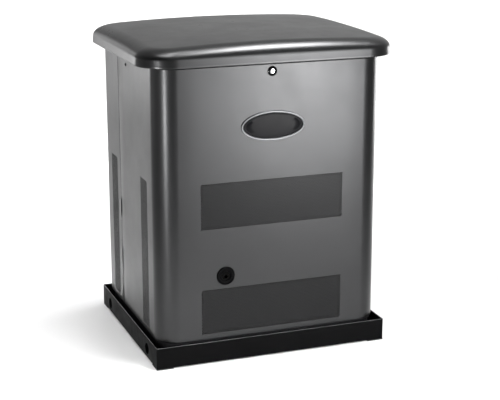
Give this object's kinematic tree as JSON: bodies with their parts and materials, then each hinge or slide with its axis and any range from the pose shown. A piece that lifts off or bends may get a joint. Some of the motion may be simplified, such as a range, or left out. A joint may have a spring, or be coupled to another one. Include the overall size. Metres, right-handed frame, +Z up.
{
  "type": "home standby generator",
  "caption": "Tower-shaped enclosed standby generator: rounded sheet-metal cabinet on a black tray with a hinged lid, engine, alternator, muffler and controls inside.",
  "frame": {"origin": "on the ground under the middle of the base tray", "axes": "+X to the right, +Y to the back, +Z up; the badge and lock face -Y"},
  "size_m": [0.86, 0.728, 1.0464],
  "materials": {
    "base_tray": "satin black",
    "foot_front_left": "matte",
    "foot_rear_left": "matte",
    "foot_front_right": "matte",
    "foot_rear_right": "matte",
    "sill_frame": "satin black",
    "front_panel": "metallic satin grey",
    "rear_panel": "metallic satin grey",
    "top_frame": "satin black",
    "intake_baffle": "matte black",
    "utility_plate": "satin",
    "lid": "metallic satin grey",
    "lid_frame": "satin black",
    "lid_gasket": "matte foam",
    "lid_striker": "zinc plated",
    "hinge_leaf_fixed": "satin black",
    "hinge_leaf_lid": "satin black",
    "hinge_pin": "turned",
    "lock_bezel": "satin black",
    "lock_cylinder": "polished",
    "lock_cam": "zinc plated",
    "badge_rim": "polished",
    "badge_plate": "gloss black",
    "exhaust_bezel": "matte black",
    "tailpipe": "heat-dulled",
    "muffler": "aluminised, heat-dulled",
    "exhaust_manifold": "heat-dulled",
    "engine_cradle": "satin black",
    "isolator_front_left": "matte",
    "isolator_rear_left": "matte",
    "isolator_front_right": "matte",
    "isolator_rear_right": "matte",
    "alternator_end_cover": "cast",
    "alternator_stator": "laminated steel",
    "alternator_rotor": "laminations and copper",
    "crankshaft": "ground",
    "flywheel_fan": "cast",
    "crankcase": "cast",
    "cylinder_left": "cast, finned",
    "cylinder_right": "cast, finned",
    "valve_cover_left": "satin black",
    "valve_cover_right": "satin black",
    "blower_housing": "matte black",
    "intake_manifold": "cast",
    "carburettor": "die cast",
    "air_filter_box": "matte black",
    "oil_filter": "gloss blue",
    "dipstick_tube": "plated",
    "dipstick": "yellow",
    "starter_motor": "satin",
    "battery": "satin black",
    "battery_strap": "zinc plated",
    "battery_cable": "red insulation",
    "control_box": "satin",
    "control_face": "fine texture",
    "mode_switch": "red",
    "breaker_lever": "black",
    "gas_regulator": "die cast",
    "gas_inlet_pipe": "yellow coated",
    "gas_hose": "matte"
  },
  "bodies": {
    "cabinet": {"base_tray": "base_tray", "foot_front_left": "foot_front_left", "foot_rear_left": "foot_rear_left", "foot_front_right": "foot_front_right", "foot_rear_right": "foot_rear_right", "sill_frame": "sill_frame", "front_panel": "front_panel", "rear_panel": "rear_panel", "top_frame": "top_frame", "intake_baffle": "intake_baffle", "utility_plate": "utility_plate", "hinge_leaf_fixed": "hinge_leaf_fixed", "hinge_pin": "hinge_pin", "lock_bezel": "lock_bezel", "badge_rim": "badge_rim", "badge_plate": "badge_plate", "exhaust_bezel": "exhaust_bezel", "tailpipe": "tailpipe", "muffler": "muffler", "exhaust_manifold": "exhaust_manifold", "engine_cradle": "engine_cradle", "isolator_front_left": "isolator_front_left", "isolator_rear_left": "isolator_rear_left", "isolator_front_right": "isolator_front_right", "isolator_rear_right": "isolator_rear_right", "alternator_end_cover": "alternator_end_cover", "alternator_stator": "alternator_stator", "crankcase": "crankcase", "cylinder_left": "cylinder_left", "cylinder_right": "cylinder_right", "valve_cover_left": "valve_cover_left", "valve_cover_right": "valve_cover_right", "blower_housing": "blower_housing", "intake_manifold": "intake_manifold", "carburettor": "carburettor", "air_filter_box": "air_filter_box", "oil_filter": "oil_filter", "dipstick_tube": "dipstick_tube", "starter_motor": "starter_motor", "battery": "battery", "battery_strap": "battery_strap", "battery_cable": "battery_cable", "control_box": "control_box", "control_face": "control_face", "gas_regulator": "gas_regulator", "gas_inlet_pipe": "gas_inlet_pipe", "gas_hose": "gas_hose"},
    "lid": {"lid": "lid", "lid_frame": "lid_frame", "lid_gasket": "lid_gasket", "lid_striker": "lid_striker", "hinge_leaf_lid": "hinge_leaf_lid"},
    "lock": {"lock_cylinder": "lock_cylinder", "lock_cam": "lock_cam"},
    "rotating_set": {"alternator_rotor": "alternator_rotor", "crankshaft": "crankshaft", "flywheel_fan": "flywheel_fan"},
    "dipstick": {"dipstick": "dipstick"},
    "mode_switch": {"mode_switch": "mode_switch"},
    "breaker_lever": {"breaker_lever": "breaker_lever"}
  },
  "joints": [
    {"name": "lid_hinge", "type": "hinge", "parent": "cabinet", "child": "lid", "pos_m": [0, 0.346, 0.984], "axis": [-1, 0, 0], "range_deg": [0, 75]},
    {"name": "lock_turn", "type": "hinge", "parent": "cabinet", "child": "lock", "pos_m": [-0.0035, -0.3305, 0.945], "axis": [0, -1, 0], "range_deg": [0, 90]},
    {"name": "crankshaft_spin", "type": "hinge", "parent": "cabinet", "child": "rotating_set", "pos_m": [0.05, 0.025, 0.3], "axis": [0, 0, 1], "continuous": true},
    {"name": "dipstick_pull", "type": "slide", "parent": "cabinet", "child": "dipstick", "axis": [0, 0, 1], "range_m": [0, 0.26]},
    {"name": "mode_switch_rock", "type": "hinge", "parent": "cabinet", "child": "mode_switch", "pos_m": [-0.28, -0.21, 0.9263], "axis": [1, 0, 0], "range_deg": [-10, 10]},
    {"name": "breaker_throw", "type": "hinge", "parent": "cabinet", "child": "breaker_lever", "pos_m": [-0.19, -0.21, 0.9263], "axis": [1, 0, 0], "range_deg": [-25, 25]}
  ]
}
